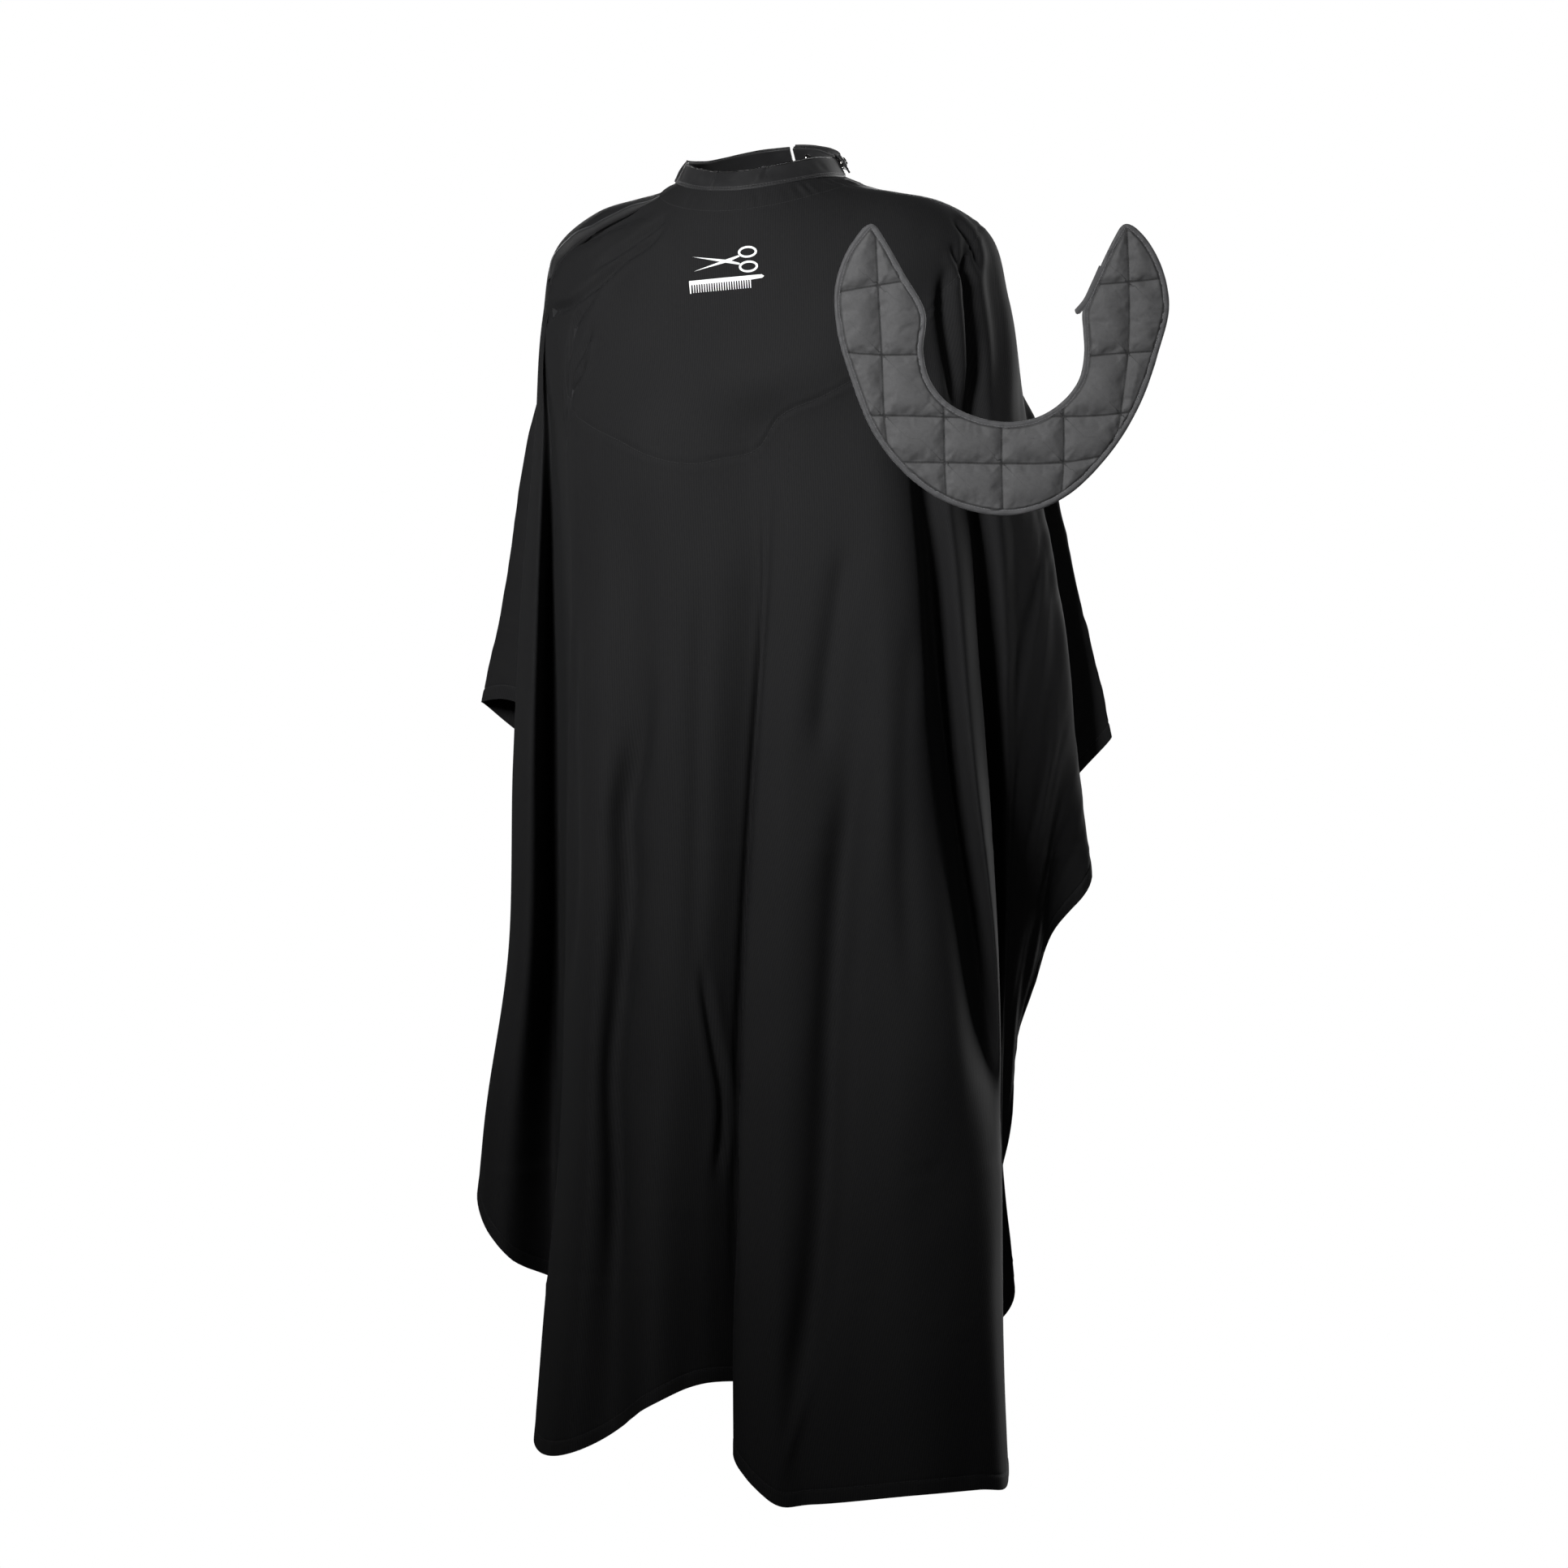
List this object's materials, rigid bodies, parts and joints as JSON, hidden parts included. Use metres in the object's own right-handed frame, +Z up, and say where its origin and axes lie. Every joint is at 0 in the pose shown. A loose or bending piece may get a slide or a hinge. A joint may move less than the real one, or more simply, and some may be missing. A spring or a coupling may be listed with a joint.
{
  "type": "barber cape",
  "caption": "Black hairdressing cape hanging as worn from its snap neckband, with a grey quilted U-shaped weighted insert held up beside it.",
  "frame": {"origin": "middle of the neck opening, halfway up the neckband", "axes": "+Z up, the wearer faces -Y, +X is the wearer's left"},
  "size_m": [0.8419, 0.3921, 1.417],
  "materials": {
    "black_cloth": "fine ribbed polyester, soft sheen",
    "band_satin": "smooth satin-faced polyester",
    "stiffener": "pressed non-woven",
    "facing_cloth": "matte lining",
    "snap_metal": "polished nickel plate",
    "grey_nylon": "quilted nylon, slight sheen",
    "grey_binding": "folded bias tape",
    "glass_beads": "small round beads"
  },
  "bodies": {
    "cape": {"cape_shell": "black_cloth", "pocket_facing": "facing_cloth", "neckband_outer": "band_satin", "neckband_interlining": "stiffener", "neckband_lining": "band_satin", "stud_1": "snap_metal", "stud_2": "snap_metal", "stud_3": "snap_metal", "stud_4": "snap_metal", "stud_ring_1": "snap_metal", "stud_ring_2": "snap_metal", "stud_ring_3": "snap_metal", "stud_ring_4": "snap_metal"},
    "closing_tab": {"tab_outer": "band_satin", "tab_lining": "band_satin", "tab_snap_ring": "snap_metal", "tab_snap_socket": "snap_metal"},
    "weighted_insert": {"insert_front_cover": "grey_nylon", "insert_back_cover": "grey_nylon", "insert_binding": "grey_binding", "bead_fill_01": "glass_beads", "bead_fill_02": "glass_beads", "bead_fill_03": "glass_beads", "bead_fill_04": "glass_beads", "bead_fill_05": "glass_beads", "bead_fill_06": "glass_beads", "bead_fill_07": "glass_beads", "bead_fill_08": "glass_beads", "bead_fill_09": "glass_beads", "bead_fill_10": "glass_beads", "bead_fill_11": "glass_beads", "bead_fill_12": "glass_beads", "bead_fill_13": "glass_beads", "bead_fill_14": "glass_beads", "bead_fill_15": "glass_beads", "bead_fill_16": "glass_beads", "bead_fill_17": "glass_beads", "bead_fill_18": "glass_beads", "bead_fill_19": "glass_beads", "bead_fill_20": "glass_beads"}
  },
  "joints": [
    {"name": "tab_hinge", "type": "hinge", "parent": "cape", "child": "closing_tab", "pos_m": [0.00168, 0.09232, 0.00809], "axis": [-0.0085, -0.4999, 0.866], "range_deg": [0, 75]},
    {"name": "insert_slide", "type": "slide", "parent": "cape", "child": "weighted_insert", "axis": [-0.8988, -0.4384, 0], "range_m": [0, 0.31]}
  ]
}
